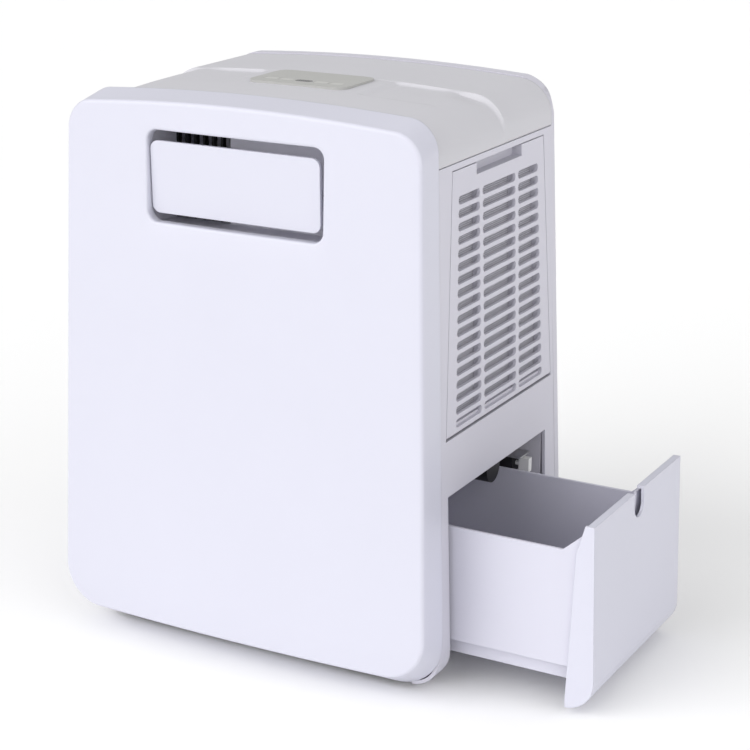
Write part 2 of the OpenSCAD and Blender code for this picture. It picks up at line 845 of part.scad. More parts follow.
tank_gap = 1.1;
tank_y0 = bay_y0 + tank_gap + panel_wall;
tank_y1 = bay_y1 - tank_side_space;
tank_x0 = bay_x0 + 1.5;
tank_x1 = half_w(bay_top) - tank_panel_t - 0.4;
tank_z0 = base_top + gap;
tank_top = tank_z0 + tank_h;
keel_h = 13.5;
tank_panel_top = bay_top - 1.5;
panel_bottom = case_bottom;
notch_y = (bay_y0 + bay_y1) / 2;
notch_r = 9.6;
wing = 20;

// Footprint of the tank: round at its inner end, square where it meets the outer panel
module tank_plan(inset, r) {
    x0 = tank_x0 + inset;
    x1 = tank_x1 - inset;
    y0 = tank_y0 + inset;
    y1 = tank_y1 - inset;
    translate([x0 + r, y0]) square([x1 - x0 - r, y1 - y0]);
    translate([x0, y0 + r]) square([x1 - x0, y1 - y0 - 2 * r]);
    for (y = [y0 + r, y1 - r]) translate([x0 + r, y]) circle(r);
}

// Outline of the pouring notch, as a cutter along X
module notch(x0, x1) {
    along_x(x0, x1) {
        translate([notch_y, tank_panel_top - notch_depth + notch_r]) circle(notch_r);
        translate([notch_y - notch_r, tank_panel_top - notch_depth + notch_r])
            square([2 * notch_r, notch_depth]);
    }
}

module tank_shell() {
    color("#d4d4de")
        translate([tank_out, 0, 0])
            difference() {
                union() {
                    translate([0, 0, tank_z0 + keel_h]) linear_extrude(tank_h - keel_h) tank_plan(0, 12);
                    translate([0, 0, tank_z0]) linear_extrude(keel_h + 1) tank_plan(7, 10);
                    block([tank_x1 - tank_wall, tank_y0, tank_top - 1],
                        [tank_x1, tank_y1, tank_panel_top - 6]);
                    for (y = [tank_y0, tank_y1 - tank_wall])
                        along_y(y, y + tank_wall)
                            polygon([[tank_x1 - wing, tank_top - 1], [tank_x1, tank_top - 1],
                                [tank_x1, tank_panel_top - 6], [tank_x1 - wing, tank_top]]);
                }
                translate([0, 0, tank_z0 + keel_h + tank_wall]) linear_extrude(200) tank_plan(tank_wall, 10);
                translate([0, 0, tank_z0 + tank_wall]) linear_extrude(200) tank_plan(7 + tank_wall, 8);
                block([tank_x0 - 1, tank_y0 + 14, tank_top - 5], [tank_x0 + 6, tank_y1 - 14, tank_top + 1]);
                notch(tank_x1 - 5, tank_x1 + 1);
            }
}

// End cap of the outer panel: "foot" and "head" are its depths at the bottom and the top
module panel_cap(y, foot, head) {
    along_y(y, y + panel_wall)
        polygon(concat([[-eps, tank_panel_top], [-eps, panel_bottom + bottom_r]],
            arc(-bottom_r, panel_bottom + bottom_r, bottom_r - eps, 0, -90),
            [[-foot, panel_bottom + 6], [-head, tank_top], [-head / 2, tank_panel_top]]));
}

module tank_panel() {
    y0 = bay_y0 + tank_gap;
    y1 = bay_y1 - tank_gap;
    color("#eeeef4")
        translate([tank_out, 0, 0])
            on_right()
                difference() {
                    union() {
                        along_y(y0, y1) polygon(turned_under(panel_wall, panel_bottom, tank_panel_top));
                        block([-tank_panel_t, y0, tank_panel_top - panel_wall], [-1, y1, tank_panel_top]);
                        panel_cap(y0, bottom_r, 15);
                        panel_cap(y1 - panel_wall, bottom_r, 8);
                    }
                    notch(-tank_panel_t - 1, 1);
                }
}

cage_w = 34;
cage_h = 46;
cage_z = tank_top - cage_h - 8;
cage_y = tank_y0 + tank_wall + 14;
cage_x = tank_x0 + tank_wall;
float_h = 22;

module float_cage() {
    color("#e4e4ea")
        translate([tank_out + cage_x, cage_y, cage_z])
            difference() {
                cube([cage_w, cage_w, cage_h]);
                translate([1.5, 1.5, 1.5]) cube([cage_w - 3, cage_w - 3, cage_h]);
                translate([cage_w / 2, cage_w / 2, -1]) cylinder(h = 4, r = 8);
                translate([cage_w / 2 - 5, -1, 8]) cube([10, cage_w + 2, cage_h - 14]);
            }
}

module float() {
    w = cage_w - 3 - 1.2;
    color("#f4f4f0")
        translate([tank_out + cage_x + cage_w / 2, cage_y + cage_w / 2, cage_z + 1.8])
            linear_extrude(float_h) round_rect(w, w, 4);
}

switch_x1 = half_w(bay_top) - tank_panel_t - 14;
switch_y = bay_y1 - 13;
switch_z = bay_top - 29;
plunger_r = 2;
plunger_travel = 3;

module tank_switch() {
    color("#202022")
        difference() {
            block([switch_x1 - 16, switch_y - 8, switch_z - 7], [switch_x1, switch_y + 8, switch_z + 7]);
            translate([switch_x1 - 14, switch_y, switch_z])
                rotate([0, 90, 0])
                    cylinder(h = 20, r = plunger_r + fit);
        }
}

module switch_bracket() {
    z = switch_z + 7;
    color("#3a3a3e") {
        block([switch_x1 - 18, switch_y - 9, z], [switch_x1 + 8, switch_y + 9, z + 1.5]);
        block([switch_x1 - 18, switch_y - 9, z + 1.5], [switch_x1 - 16, switch_y + 9, bay_top]);
    }
}

module switch_plunger() {
    color("#f4f4f4") {
        translate([switch_x1 - 10, switch_y, switch_z]) rotate([0, 90, 0]) cylinder(h = 14, r = plunger_r);
        block([switch_x1 + plunger_travel + 0.5, switch_y - 3, switch_z - 6],
            [tank_x1 - 0.6, switch_y + 3, switch_z + 6]);
    }
}

// ---- controls and electrics ----

key_gap = 0.4;

module control_panel() {
    color("#bdbdb4")
        translate([0, panel_y, panel_z - 0.5])
            linear_extrude(panel_t)
                difference() {
                    round_rect(panel_w, panel_d, 10);
                    for (p = key_places)
                        translate([p[0], p[1]]) round_rect(key_w + 2 * key_gap, key_d + 2 * key_gap, 2.4);
                    translate([0, display_y]) round_rect(display_w + 0.2, display_d + 0.2, 3.4);
                }
}

module display_window() {
    color("#26282a")
        translate([0, panel_y + display_y, panel_z - 4.5])
            linear_extrude(4 + panel_t) round_rect(display_w, display_d, 3.3);
}

// One key: its cap stands level with the panel and its stem ends above the board
module key(i) {
    p = key_places[i];
    color("#d8d8d2")
        translate([p[0], panel_y + p[1], panel_z - 4]) {
            linear_extrude(4 + panel_t - 0.5) round_rect(key_w, key_d, 2);
            translate([0, 0, -5]) cylinder(h = 6, r = 2);
        }
}

module power_key() { key(0); }
module timer_key() { key(1); }
module humidity_key() { key(2); }
module mode_key() { key(3); }

board_z = panel_z - 12;

module control_board() {
    color("#2f6b3c") {
        block([-panel_w / 2 + 4, panel_y - panel_d / 2 + 4, board_z],
            [panel_w / 2 - 4, panel_y + panel_d / 2 - 4, board_z + 1.6]);
        for (p = key_places)
            translate([p[0], panel_y + p[1], board_z + 1.6]) linear_extrude(0.4) square(6, center = true);
    }
}

module power_board() {
    x = -half_w(seam_z) + 12;
    color("#2f6b3c") {
        block([x, -40, seam_z - 60], [x + 2, 60, seam_z - 4]);
        block([x + 2, -30, seam_z - 50], [x + 22, 0, seam_z - 26]);
        block([x + 2, 20, seam_z - 46], [x + 16, 44, seam_z - 30]);
    }
}

module run_capacitor() {
    color("#d0d0d4")
        translate([-half_w(seam_z) + 42, -case_d / 2 + 62, seam_z - 130])
            rotate_extrude() polygon([[0, 0], [16, 0], [16, 62], [14, 64], [6, 64], [6, 68], [0, 68]]);
}

module cord_gland() {
    color("#202022")
        on_rear()
            translate([gland_at[0], 0, gland_at[1]])
                rotate([90, 0, 0])
                    difference() {
                        union() {
                            translate([0, 0, -4]) cylinder(h = 4, r = gland_r + 4);
                            translate([0, 0, -1]) cylinder(h = 13, r = gland_r);
                        }
                        translate([0, 0, -10]) cylinder(h = 40, r = 3.5);
                    }
}

module case_screws() {
    color("#9a9da2")
        for (p = screw_places)
            on_rear() translate([p[0], 0, p[1]]) rotate([90, 0, 0]) {
                translate([0, 0, -2]) cylinder(h = 2, r = 3.2);
                translate([0, 0, -1]) cylinder(h = 13, r = screw_r);
            }
}

// Middle of the overall box, from the case's middle: the front panel and the
// tank panel are its left and right limits, the front bow and the cord gland its
// front and rear
box_mid = [(tank_out + half_w(case_bottom + bottom_r) - half_w(case_bottom) - front_proud) / 2,
    (front_y(face_bottom) - 0.91 * front_bow + rear_y(gland_at[1] - gland_r - 4) + 4) / 2];

module placed() { translate([-box_mid[0], -box_mid[1], 0]) children(); }

placed() front_panel();
placed() top_cover();
placed() left_side_panel();
placed() right_side_panel();
placed() rear_cover();
placed() base_tray();
placed() feet();
placed() tank_bay_liner();
placed() deck();
placed() outlet_duct();
placed() outlet_fins();
placed() flap_motor();
placed() outlet_flap();
placed() fan_scroll();
placed() fan_motor();
placed() fan_wheel();
placed() fan_shaft();
placed() evaporator_fins();
placed() evaporator_tubes();
placed() condenser_fins();
placed() condenser_tubes();
placed() drip_tray();
placed() drain_spout();
placed() compressor();
placed() compressor_grommets();
placed() accumulator();
placed() discharge_pipe();
placed() suction_pipe();
placed() filter_door();
placed() filter_frame();
placed() filter_mesh();
placed() tank_shell();
placed() tank_panel();
placed() float_cage();
placed() float();
placed() tank_switch();
placed() switch_bracket();
placed() switch_plunger();
placed() control_panel();
placed() display_window();
placed() control_board();
placed() power_key();
placed() timer_key();
placed() humidity_key();
placed() mode_key();
placed() power_board();
placed() run_capacitor();
placed() cord_gland();
placed() case_screws();
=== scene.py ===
# %% [markdown]
# # A compact dehumidifier
# The mechanical model arrives as a fixed frame: every node already has its size and place, in metres.
# This lesson gives it its looks. Four visible pieces that deserve softer curves than the frame has get new
# meshes: the front panel, the top cover, the rear cover and the outlet flap. Every other piece keeps its
# shape and gets a procedural finish.

# %% Load the frame
import json
import math

import bmesh
import bpy
from mathutils import Matrix, Vector


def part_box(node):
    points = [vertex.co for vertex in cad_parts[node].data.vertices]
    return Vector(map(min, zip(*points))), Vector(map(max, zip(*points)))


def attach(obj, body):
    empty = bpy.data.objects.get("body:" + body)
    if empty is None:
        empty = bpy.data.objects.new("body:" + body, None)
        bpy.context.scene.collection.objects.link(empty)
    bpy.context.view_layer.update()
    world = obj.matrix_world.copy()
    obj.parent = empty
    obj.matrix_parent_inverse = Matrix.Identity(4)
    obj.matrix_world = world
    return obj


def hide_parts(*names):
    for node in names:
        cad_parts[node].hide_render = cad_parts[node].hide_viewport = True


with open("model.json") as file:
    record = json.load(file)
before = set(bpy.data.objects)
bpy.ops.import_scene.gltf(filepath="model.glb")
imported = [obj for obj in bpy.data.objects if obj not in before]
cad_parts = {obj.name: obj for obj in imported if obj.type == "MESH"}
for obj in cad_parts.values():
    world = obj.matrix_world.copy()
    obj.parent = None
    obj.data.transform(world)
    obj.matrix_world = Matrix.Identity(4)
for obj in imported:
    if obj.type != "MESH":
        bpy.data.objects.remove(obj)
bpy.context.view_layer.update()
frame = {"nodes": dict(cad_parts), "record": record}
nodes = frame["nodes"]


# %% [markdown]
# ## Where things are
# The case leans inwards on every side, so its pieces are drawn in frames whose zero plane is the leaning
# face. The middle of the case comes from the boxes of the front panel and the rear cover. Only the angles,
# radii and wall sizes of the mouldings are written down here. The front panel stands a little proud of the
# sides.

# %% Anchors taken from the frame
MM = 0.001
FRONT_LEAN = math.radians(2.29)
SIDE_LEAN = math.radians(1.57)
REAR_LEAN = math.radians(2.1)
RIM_TAPER = math.radians(0.88)
RIM_DEPTH = 32.5 * MM
PROUD = 2.6 * MM
BOW = 6.37 * MM
FACE_BOTTOM = 23 * MM
CASE_BOTTOM = 6 * MM

front_lo, front_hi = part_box("front_panel")
case_x = (front_lo.x + front_hi.x) / 2
face_y = front_lo.y + BOW - FACE_BOTTOM * math.tan(FRONT_LEAN)
half_floor = (front_hi.x - front_lo.x) / 2 - PROUD + CASE_BOTTOM * math.tan(SIDE_LEAN)
rear_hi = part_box("rear_cover")[1]
case_top = rear_hi.z
rear_floor = rear_hi.y + CASE_BOTTOM * math.tan(REAR_LEAN)


def half_width(z):
    """Half of the case's width at a height."""
    return half_floor - z * math.tan(SIDE_LEAN)


print("case middle x:", round(case_x, 4), "face y:", round(face_y, 4), "half width:", round(half_floor, 4))

# %% [markdown]
# ## Camera
# A long lens from the front right and a little above shows the front, the tank side and the top together,
# with little perspective. Its place is measured from the middle of the case.

# %% Camera
camera = bpy.data.objects.new("camera", bpy.data.cameras.new("camera"))
bpy.context.scene.collection.objects.link(camera)
LENS = 95.43
SENSOR = 36
FAR = 60
camera.location = Vector((case_x + 0.81068, face_y - 1.22390, 0.72340))
looks_at = Vector((case_x + 0.00028, face_y + 0.23150, 0.18313))
camera.rotation_euler = (looks_at - camera.location).to_track_quat("-Z", "Y").to_euler()
camera.data.lens = LENS
camera.data.sensor_width = SENSOR
camera.data.clip_end = FAR
bpy.context.scene.camera = camera
print("camera distance:", round((looks_at - camera.location).length, 3))

# %% [markdown]
# ## Floor and light
# White goods are shown in a bright room with hardly any shadow. A white world gives light from all round,
# a broad sun from the front left makes the front the brightest side, and weaker ones fill the tank side and
# the top. The floor is a large pale sheet. The Standard view keeps whites white.

# %% Floor and light
scene = bpy.context.scene
scene.view_settings.view_transform = "Standard"
world = bpy.data.worlds.new("soft_room")
world.use_nodes = True
room = world.node_tree.nodes["Background"].inputs
room["Color"].default_value = (1.0, 1.0, 1.0, 1.0)
room["Strength"].default_value = 0.56
scene.world = world


def sun(name, towards, strength, spread):
    """A sun that shines from the direction "towards", with a broad disc for soft shadows."""
    lamp = bpy.data.objects.new(name, bpy.data.lights.new(name, "SUN"))
    scene.collection.objects.link(lamp)
    lamp.data.energy = strength
    lamp.data.angle = math.radians(spread)
    lamp.rotation_euler = Vector(towards).to_track_quat("Z", "Y").to_euler()


sun("window_light", (-0.46, -0.76, 0.46), 1.95, 60)
sun("side_light", (1.00, -0.45, 0.30), 1.15, 70)
sun("ceiling_light", (0.10, 0.05, 1.00), 0.25, 60)

FLOOR_REACH = 12.0
floor_mesh = bpy.data.meshes.new("floor")
signs = ((-1, -1), (1, -1), (1, 1), (-1, 1))
floor_mesh.from_pydata([(FLOOR_REACH * a, FLOOR_REACH * b, 0) for a, b in signs], [], [(0, 1, 2, 3)])
floor = bpy.data.objects.new("floor", floor_mesh)
scene.collection.objects.link(floor)

# %% [markdown]
# ## Shader maths as Python
# A finish is a small network of nodes. Wiring it by hand hides the idea, so one class wraps a socket and
# takes part in ordinary sums, and one method adds any other node. Colours are mixed with Mix nodes, because
# a Math node would turn them grey.

# %% A wire and a finish
class Wire:
    """A shader socket that can stand in a Python expression."""

    def __init__(self, finish, socket):
        self.finish, self.socket = finish, socket

    def math(self, operation, a, b):
        return self.finish.add("ShaderNodeMath", {"operation": operation}, {0: a, 1: b})

    def __add__(self, other):
        return self.math("ADD", self, other)

    def __radd__(self, other):
        return self.math("ADD", other, self)

    def __sub__(self, other):
        return self.math("SUBTRACT", self, other)

    def __rsub__(self, other):
        return self.math("SUBTRACT", other, self)

    def __mul__(self, other):
        return self.math("MULTIPLY", self, other)

    def __rmul__(self, other):
        return self.math("MULTIPLY", other, self)


class Finish:
    """One procedural material, made from a Principled shader and the nodes added to it."""

    def __init__(self, name, **constants):
        self.material = bpy.data.materials.new(name)
        self.material.use_nodes = True
        self.tree = self.material.node_tree
        self.shader = self.tree.nodes["Principled BSDF"]
        self.place = self.add("ShaderNodeTexCoord", output="Object")
        for socket, value in constants.items():
            self.shader.inputs[socket.replace("_", " ")].default_value = value

    def add(self, kind, settings=None, sockets=None, output=0):
        """Adds a node: its settings first, then the values or wires of its sockets."""
        node = self.tree.nodes.new(kind)
        for key, value in (settings or {}).items():
            if key == "stops":
                ramp = node.color_ramp.elements
                while len(ramp) < len(value):
                    ramp.new(0.5)
                for element, (position, grey) in zip(ramp, value):
                    element.position = position
                    element.color = (grey, grey, grey, 1)
            else:
                setattr(node, key, value)
        for key, value in (sockets or {}).items():
            if isinstance(value, Wire):
                self.tree.links.new(value.socket, node.inputs[key])
            else:
                node.inputs[key].default_value = value
        return Wire(self, node.outputs[output])

    def noise(self, size, detail=2.0, stretch=(1, 1, 1)):
        """Noise whose blobs are about "size" metres across."""
        place = self.add("ShaderNodeVectorMath", {"operation": "MULTIPLY"}, {0: self.place, 1: stretch})
        return self.add("ShaderNodeTexNoise", {}, {"Vector": place, "Scale": 1 / size, "Detail": detail})

    def mix(self, amount, first, second):
        """A colour between two, by a value from 0 to 1."""
        pair = {6: first, 7: second, 0: amount}
        return self.add("ShaderNodeMix", {"data_type": "RGBA"}, pair, output=2)

    def ramp(self, low, high, amount):
        """0 below "low", 1 above "high", and an even change between."""
        return self.add("ShaderNodeValToRGB", {"stops": [(low, 0.0), (high, 1.0)]}, {0: amount})

    def feed(self, socket, wire):
        """Links a wire to a socket of the shader, and gives the finish back."""
        self.tree.links.new(wire.socket, self.shader.inputs[socket])
        return self

    def relief(self, height, depth, edge=0.0):
        """Bumps the surface by "height" times "depth" metres, over edges rounded by "edge" metres."""
        sockets = {"Height": height, "Distance": depth, "Strength": 1.0}
        if edge:
            sockets["Normal"] = self.add("ShaderNodeBevel", {"samples": 6}, {"Radius": edge})
        return self.feed("Normal", self.add("ShaderNodeBump", {}, sockets))


print("a Wire can be added, subtracted and multiplied, from either side")

# %% [markdown]
# ## Moulded plastics
# The case is injection moulded. Close up, such plastic has a fine spark texture from the mould, a very slow
# change of gloss, and edges that are never quite sharp. The same recipe with other numbers gives the glossy
# front, the satin sides, the grey top and the dark inner mouldings.

# %% The moulded plastic recipe
def shade(colour, factor):
    """A colour made darker or lighter, with its alpha."""
    return tuple(min(1.0, c * factor) for c in colour) + (1.0,)


def moulded(name, colour, gloss, grain, edge=0.0006, drift=0.03):
    """Plastic from a mould: "gloss" is its mean roughness, and "grain" the depth of its texture in metres."""
    finish = Finish(name, IOR=1.49)
    slow = finish.noise(0.09, 3)
    fine = finish.noise(0.0011, 2)
    finish.feed("Base Color", finish.mix(slow, shade(colour, 1 - drift), shade(colour, 1 + drift)))
    finish.feed("Roughness", gloss - 0.05 + 0.07 * slow + 0.05 * fine)
    return finish.relief(fine, grain, edge)


plastics = {
    "white_shell": ((0.60, 0.60, 0.685), 0.34, 0.000012, 0.0010, 0.012),
    "case_plastic": ((0.585, 0.575, 0.645), 0.46, 0.000030, 0.0007, 0.015),
    "top_grey": ((0.575, 0.57, 0.605), 0.50, 0.000040, 0.0, 0.02),
    "tank_plastic": ((0.60, 0.595, 0.68), 0.36, 0.000014, 0.0008, 0.02),
    "inner_grey": ((0.58, 0.57, 0.63), 0.55, 0.000040),
    # duct_grey is far paler than the case plastic: painted light on the outlet duct's walls, which lie in a
    # shaded recess.
    "duct_grey": ((0.86, 0.85, 0.93), 0.50, 0.000030),
    "black_plastic": ((0.009, 0.009, 0.011), 0.50, 0.000040, 0.0005, 0.2),
    "white_plastic": ((0.80, 0.80, 0.80), 0.42, 0.000020, 0.0005),
    "rubber": ((0.022, 0.022, 0.023), 0.80, 0.000060, 0.0008, 0.15),
}
finishes = {name: moulded(name, *recipe) for name, recipe in plastics.items()}
print("moulded finishes:", len(finishes))

# %% [markdown]
# ## The control panel's film
# The panel is a printed film with a satin face. Its keys are the same film over small domes, so they differ
# only a little in tone. The display is a tinted lens, which is smooth and dark.

# %% Film, keys and lens
def film(name, colour, gloss):
    """A satin film: tiny speckle in the lacquer and a slow change of tone."""
    finish = Finish(name, IOR=1.5)
    speckle = finish.noise(0.0006, 1)
    slow = finish.noise(0.03, 2)
    finish.feed("Base Color", finish.mix(slow, shade(colour, 0.95), shade(colour, 1.05)))
    finish.feed("Roughness", gloss + 0.08 * speckle)
    return finish.relief(speckle, 0.000008, 0.0004)


films = {
    "panel_film": ((0.44, 0.44, 0.425), 0.38),
    "key_cap": ((0.52, 0.52, 0.50), 0.34),
    "dark_window": ((0.020, 0.020, 0.024), 0.10),
}
finishes.update({name: film(name, *recipe) for name, recipe in films.items()})
print("films:", len(films))

# %% [markdown]
# ## Metals
# Drawn copper has long streaks along the tube and a brown bloom of oxide. Fin stock is thin bright aluminium
# with a little dust. Steel parts are zinc plated, and the compressor is painted black with a slight orange
# peel.

# %% Metal and paint
def metal(name, colour, tarnish, gloss, streak):
    """Bare metal: "tarnish" is the colour of its oxide and "streak" the stretch of its drawing marks."""
    finish = Finish(name, Metallic=1.0)
    marks = finish.noise(0.004, 4, streak)
    bloom = finish.ramp(0.42, 0.75, finish.noise(0.03, 4))
    finish.feed("Base Color", finish.mix(bloom, shade(colour, 1.0), shade(tarnish, 1.0)))
    finish.feed("Roughness", gloss + 0.18 * marks)
    return finish.relief(marks, 0.000020)


def painted(name, colour, gloss, peel):
    """Sprayed paint, whose surface has shallow waves a few millimetres apart."""
    finish = Finish(name, IOR=1.5)
    waves = finish.noise(0.003, 1)
    dust = finish.noise(0.05, 4)
    finish.feed("Base Color", finish.mix(dust, shade(colour, 0.9), shade(colour, 1.6)))
    finish.feed("Roughness", gloss + 0.2 * dust)
    return finish.relief(waves, peel, 0.0005)


finishes["copper"] = metal("copper", (0.72, 0.40, 0.25), (0.40, 0.22, 0.15), 0.26, (8, 1, 1))
finishes["fins"] = metal("fins", (0.78, 0.79, 0.80), (0.60, 0.60, 0.60), 0.34, (1, 1, 6))
finishes["plain_steel"] = metal("plain_steel", (0.62, 0.62, 0.63), (0.50, 0.50, 0.49), 0.36, (6, 1, 1))
finishes["black_steel"] = painted("black_steel", (0.020, 0.020, 0.022), 0.30, 0.000060)
finishes["board"] = painted("board", (0.02, 0.12, 0.05), 0.35, 0.000020)
print("metals and paints:", [name for name in finishes if name not in plastics and name not in films])

# %% [markdown]
# ## The filter's cloth
# Behind the slots lies a woven nylon net. Two sets of threads cross at right angles, so two rows of waves
# are added, and the gaps between the threads get a darker colour that is painted shade. Small differences
# from thread to thread keep it from looking printed.

# %% Woven net
WAVES_PER_SCALE = 0.314


def woven(name, thread, gap_shade_colour, pitch):
    """A plain net whose threads are "pitch" metres apart, seen on a face that looks along X."""
    finish = Finish(name)
    wobble = finish.noise(0.004, 2)

    def row(axis):
        bands = {"wave_type": "BANDS", "bands_direction": axis}
        sockets = {"Vector": finish.place, "Scale": WAVES_PER_SCALE / pitch, "Distortion": 0.6, "Detail": 1.0}
        return finish.add("ShaderNodeTexWave", bands, sockets, output=1)

    threads = 0.5 * row("Y") + 0.5 * row("Z") + 0.12 * wobble
    lit = finish.ramp(0.30, 0.72, threads)
    # The dark colour in the gaps between the threads is painted shade.
    finish.feed("Base Color", finish.mix(lit, gap_shade_colour + (1,), thread + (1,)))
    finish.feed("Roughness", 0.9 - 0.2 * wobble)
    return finish.relief(threads, 0.00025)


# The second colour is painted shade for the gaps between the threads.
finishes["filter_cloth"] = woven("filter_cloth", (0.60, 0.59, 0.64), (0.26, 0.26, 0.29), 0.0016)
print("finishes in all:", len(finishes))

# %% [markdown]
# ## Pale floor
# The floor is plain, with a faint unevenness so that it isn't a flat tone.

# %% Floor finish
floor_finish = Finish("pale_floor", Specular_IOR_Level=0.1)
floor_tone = floor_finish.mix(floor_finish.noise(1.2, 2), (0.97, 0.97, 0.97, 1), (1, 1, 1, 1))
floor_finish.feed("Base Color", floor_tone)
floor_finish.feed("Roughness", 0.85 + 0.1 * floor_finish.noise(0.2, 2))
floor.data.materials.append(floor_finish.material)
print("floor finish:", floor_finish.material.name)

# %% [markdown]
# ## Finishes on the frame's nodes
# The record says which material slot each node has, so the finishes are handed out by that list. Nothing is
# moved or reshaped.

# %% Hand out the finishes
slot_of = {subpart["node"]: subpart["material_slot"] for subpart in frame["record"]["subparts"]}
for name, node in nodes.items():
    node.data.materials.clear()
    node.data.materials.append(finishes[slot_of[name]].material)
print("nodes with a finish:", len(slot_of))

# %% [markdown]
# ## Building shells from rings
# A moulded shell is easiest to think of as a row of closed outlines, each a little further round the wall
# than the last. Faces are stretched between neighbouring outlines. Every outline has the same number of
# points, taken corner by corner, so the faces stay tidy from the small outlet to the large rim.

# %% Outlines and rings
CORNER = 14
SIDE = 26


def blend(a, b, share):
    """A number part of the way from one to another."""
    return a + (b - a) * share


def between(first, second, share):
    """The outline part of the way from one outline to another."""
    return [(blend(a[0], b[0], share), blend(a[1], b[1], share)) for a, b in zip(first, second)]


def outline(top_half, low_half, top, low, top_round, low_round, drop=0.0):
    """A closed outline in X and Z, with round corners and a top edge that falls by "drop" to its corners."""

    def corner(cx, cz, radius, start):
        turn = [math.radians(start + 90 * i / CORNER) for i in range(CORNER + 1)]
        return [(cx + radius * math.cos(a), cz + radius * math.sin(a)) for a in turn]

    def side(a, b):
        return [(blend(a[0], b[0], i / SIDE), blend(a[1], b[1], i / SIDE)) for i in range(1, SIDE)]

    lr = corner(low_half - low_round, low + low_round, low_round, -90)
    ur = corner(top_half - top_round, top - drop - top_round, top_round, 0)
    ul = corner(top_round - top_half, top - drop - top_round, top_round, 90)
    ll = corner(low_round - low_half, low + low_round, low_round, 180)
    reach_x = top_half - top_round
    crest = [(x, top - drop * (x / reach_x) ** 2) for x, _ in side(ur[-1], ul[0])]
    return lr + side(lr[-1], ur[0]) + ur + crest + ul + side(ul[-1], ll[0]) + ll + side(ll[-1], lr[0])


SHARP = math.radians(38)


def dress(name, mesh, slot_name, body):
    """Makes an object of a mesh, smooth but for its real edges, with its finish, riding on a body."""
    mesh.validate()
    mesh.materials.clear()
    mesh.polygons.foreach_set("use_smooth", [True] * len(mesh.polygons))
    mesh.set_sharp_from_angle(angle=SHARP)
    mesh.materials.append(finishes[slot_name].material)
    piece = bpy.data.objects.new(name, mesh)
    scene.collection.objects.link(piece)
    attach(piece, body)
    return piece


def shell(name, rings, slot_name, body):
    """An object whose skin runs over the rings in order, and back to the first."""
    count = len(rings[0])
    points = [p for ring in rings for p in ring]
    faces = []
    for k in range(len(rings)):
        a, b = k * count, ((k + 1) % len(rings)) * count
        faces += [(a + i, a + (i + 1) % count, b + (i + 1) % count, b + i) for i in range(count)]
    mesh = bpy.data.meshes.new(name)
    mesh.from_pydata(points, [], faces)
    return dress(name, mesh, slot_name, body)


print("points in an outline:", len(outline(1, 1, 1, 0, 0.1, 0.1)))

# %% [markdown]
# ## Front panel
# The front is one glossy moulding. Its face bows gently forwards, a small round turns it into a deep rim,
# and the rim's rear edge is arched to meet the top cover. The air outlet has a soft lip. Rings start inside
# the outlet, spread over the face, go round the edge and along the rim, and come back inside the wall.

# %% Front panel
WALL = 2.5 * MM
EDGE = 3.0 * MM
LIP = 1.8 * MM
LIP_DEPTH = 9 * MM
OUTLET_HALF = 79 * MM
OUTLET_TOP = 432 * MM
OUTLET_LOW = 360 * MM
OUTLET_ROUND = 9 * MM
FACE_TOP = case_top - 4 * MM
FACE_ROUNDS = (25 * MM, 34 * MM)
FACE_DROP = 6 * MM
RIM_TOP = case_top + 1 * MM
RIM_ROUNDS = (26 * MM, 40 * MM)
RIM_DROP = 4.5 * MM


def leaning(x, y, z):
    """A point of the front panel's leaning frame, in the frame of the whole machine."""
    return (case_x + x,
            face_y + y * math.cos(FRONT_LEAN) + z * math.sin(FRONT_LEAN),
            z * math.cos(FRONT_LEAN) - y * math.sin(FRONT_LEAN))


def panel_outline(top, low, rounds, drop, inset):
    """An outline as wide as the case at its own heights, drawn in by "inset"."""
    side = PROUD - inset
    return outline(half_width(top) + side, half_width(low) + side, top - inset, low + inset,
                   rounds[0] - inset, rounds[1] - inset, drop)


def face_outline(inset):
    return panel_outline(FACE_TOP, FACE_BOTTOM, FACE_ROUNDS, FACE_DROP, inset)


def rim_outline(inset):
    return panel_outline(RIM_TOP, CASE_BOTTOM, RIM_ROUNDS, RIM_DROP, inset)


def outlet_outline(grow):
    half, corner_round = OUTLET_HALF + grow, OUTLET_ROUND + grow
    return outline(half, half, OUTLET_TOP + grow, OUTLET_LOW - grow, corner_round, corner_round)


def bowed(x):
    """How far the face stands forwards at a place across its width."""
    return -BOW * (1 - min(1.0, abs(x) / half_floor) ** 2)


def face_ring(points, depth):
    """A ring that follows the bowed face at a depth behind it."""
    return [leaning(x, bowed(x) + depth, z) for x, z in points]


def rim_ring(share, inset):
    """A ring on the rim, from the rounded edge of the face (0) to the rear edge (1)."""
    ring = []
    for (x0, z0), (x1, z1) in zip(face_outline(inset), rim_outline(inset)):
        y0 = bowed(x0) + EDGE
        y1 = RIM_DEPTH - z1 * math.tan(RIM_TAPER)
        ring.append(leaning(blend(x0, x1, share), blend(y0, y1, share), blend(z0, z1, share)))
    return ring


def quarter_turn(steps):
    """Sine and cosine of even steps through a quarter turn."""
    for i in range(steps + 1):
        a = math.radians(90 * i / steps)
        yield math.sin(a), math.cos(a)


